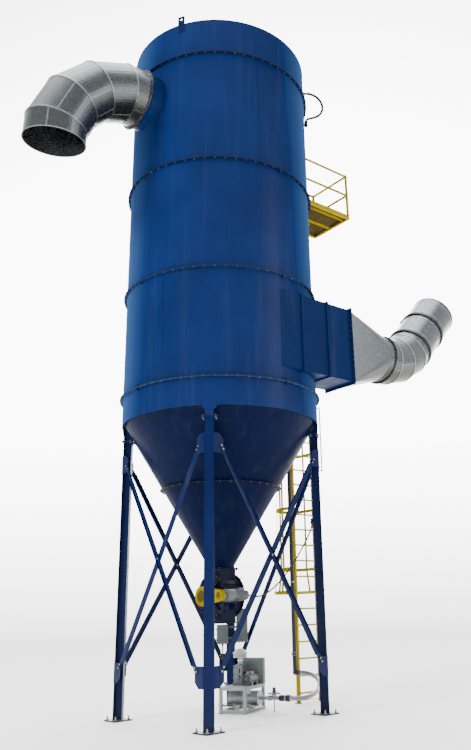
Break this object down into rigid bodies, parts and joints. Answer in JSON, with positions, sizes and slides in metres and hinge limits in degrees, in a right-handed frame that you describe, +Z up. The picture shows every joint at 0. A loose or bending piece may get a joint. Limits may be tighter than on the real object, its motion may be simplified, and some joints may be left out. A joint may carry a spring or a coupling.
{
  "type": "dust collector",
  "caption": "Cylindrical baghouse dust collector on braced legs with hopper, rotary airlock, ducts, cleaning blower, caged ladder and platform.",
  "frame": {"origin": "ground level on the shell's axis, at the centre of the anchor bolts", "axes": "+Z up along the shell; legs on -Y, +X, +Y and -X; inlet to +X, outlet to -X -Y"},
  "size_m": [8.3725, 5.6301, 13.328],
  "materials": {
    "blue_paint": "glossy blue paint",
    "navy_paint": "dark blue paint",
    "galvanised": "galvanised sheet",
    "yellow_paint": "safety yellow paint",
    "grey_paint": "light grey paint",
    "steel": "machined steel",
    "black_pipe": "black pipe and coatings",
    "rubber": "black rubber",
    "grey_hose": "grey reinforced hose",
    "felt": "needle felt filter cloth"
  },
  "bodies": {
    "frame": {"roof_plate": "blue_paint", "plenum_top": "blue_paint", "plenum_section": "blue_paint", "bag_section": "blue_paint", "inlet_section": "blue_paint", "skirt_ring": "blue_paint", "hopper_upper": "navy_paint", "hopper_lower": "navy_paint", "flange_bolts": "steel", "tubesheet": "galvanised", "filter_bags": "felt", "bag_cages": "galvanised", "arm_gearmotor": "grey_paint", "outlet_nozzle": "blue_paint", "outlet_elbow": "galvanised", "inlet_box": "blue_paint", "inlet_transition": "galvanised", "inlet_elbow": "galvanised", "inlet_duct": "galvanised", "leg_front": "blue_paint", "leg_right": "blue_paint", "leg_back": "blue_paint", "leg_left": "blue_paint", "gusset_plates": "blue_paint", "cross_braces": "blue_paint", "frame_bolts": "galvanised", "ladder": "yellow_paint", "ladder_cage": "yellow_paint", "platform": "yellow_paint", "platform_grating": "yellow_paint", "guardrail": "yellow_paint", "riser_pipe": "black_pipe", "pressure_tube": "galvanised", "airlock_housing": "navy_paint", "airlock_end_plates": "navy_paint", "drive_chain": "steel", "chain_guard": "yellow_paint", "airlock_gearmotor": "grey_paint", "control_cabinets": "grey_paint", "blower_skid": "grey_paint", "blower_housing": "grey_paint", "blower_motor": "grey_paint", "drive_belt": "rubber", "belt_guard": "grey_paint", "silencer_line": "galvanised", "intake_filter": "grey_paint", "blower_hose": "grey_hose", "loop_hose": "rubber", "motor_cable": "rubber", "panel_cable": "rubber"},
    "airlock_rotor": {"airlock_rotor": "steel", "driven_sprocket": "steel"},
    "motor_sprocket": {"drive_sprocket": "steel"},
    "arm": {"cleaning_arm": "galvanised"},
    "access_door": {"access_door": "blue_paint"},
    "door_left": {"cabinet_door_left": "grey_paint"},
    "door_right": {"cabinet_door_right": "grey_paint"},
    "upper_lobe": {"drive_lobe": "steel"},
    "lower_lobe": {"idler_lobe": "steel"},
    "motor_shaft": {"motor_pulley": "steel"}
  },
  "joints": [
    {"name": "airlock_turn", "type": "hinge", "parent": "frame", "child": "airlock_rotor", "pos_m": [0, 0, 1.945], "axis": [-0.7071, -0.7071, 0], "continuous": true},
    {"name": "motor_sprocket_turn", "type": "hinge", "parent": "frame", "child": "motor_sprocket", "pos_m": [0.33941, -0.33941, 1.945], "axis": [-0.7071, -0.7071, 0], "continuous": true},
    {"name": "arm_turn", "type": "hinge", "parent": "frame", "child": "arm", "pos_m": [0, 0, 10], "axis": [0, 0, 1], "continuous": true},
    {"name": "access_door_swing", "type": "hinge", "parent": "frame", "child": "access_door", "pos_m": [1.30474, 1.4363, 11.2], "axis": [0, 0, 1], "range_deg": [0, 90]},
    {"name": "door_left_swing", "type": "hinge", "parent": "frame", "child": "door_left", "pos_m": [-0.242, 1.39, 1.27], "axis": [0, 0, -1], "range_deg": [0, 110]},
    {"name": "door_right_swing", "type": "hinge", "parent": "frame", "child": "door_right", "pos_m": [0.359, 1.39, 1.4], "axis": [0, 0, 1], "range_deg": [0, 110]},
    {"name": "blower_turn", "type": "hinge", "parent": "frame", "child": "upper_lobe", "pos_m": [0.25585, 0.82226, 0.665], "axis": [0.3746, 0.9272, 0], "continuous": true},
    {"name": "idler_turn", "type": "hinge", "parent": "frame", "child": "lower_lobe", "pos_m": [0.25585, 0.82226, 0.555], "axis": [0.3746, 0.9272, 0], "continuous": true},
    {"name": "motor_turn", "type": "hinge", "parent": "frame", "child": "motor_shaft", "pos_m": [0.44949, 0.70089, 0.545], "axis": [0.3746, 0.9272, 0], "continuous": true}
  ],
  "couplings": [
    {"joint": "motor_sprocket_turn", "follows": "airlock_turn", "ratio": 2.25},
    {"joint": "idler_turn", "follows": "blower_turn", "ratio": -1},
    {"joint": "motor_turn", "follows": "blower_turn", "ratio": 1.448}
  ]
}
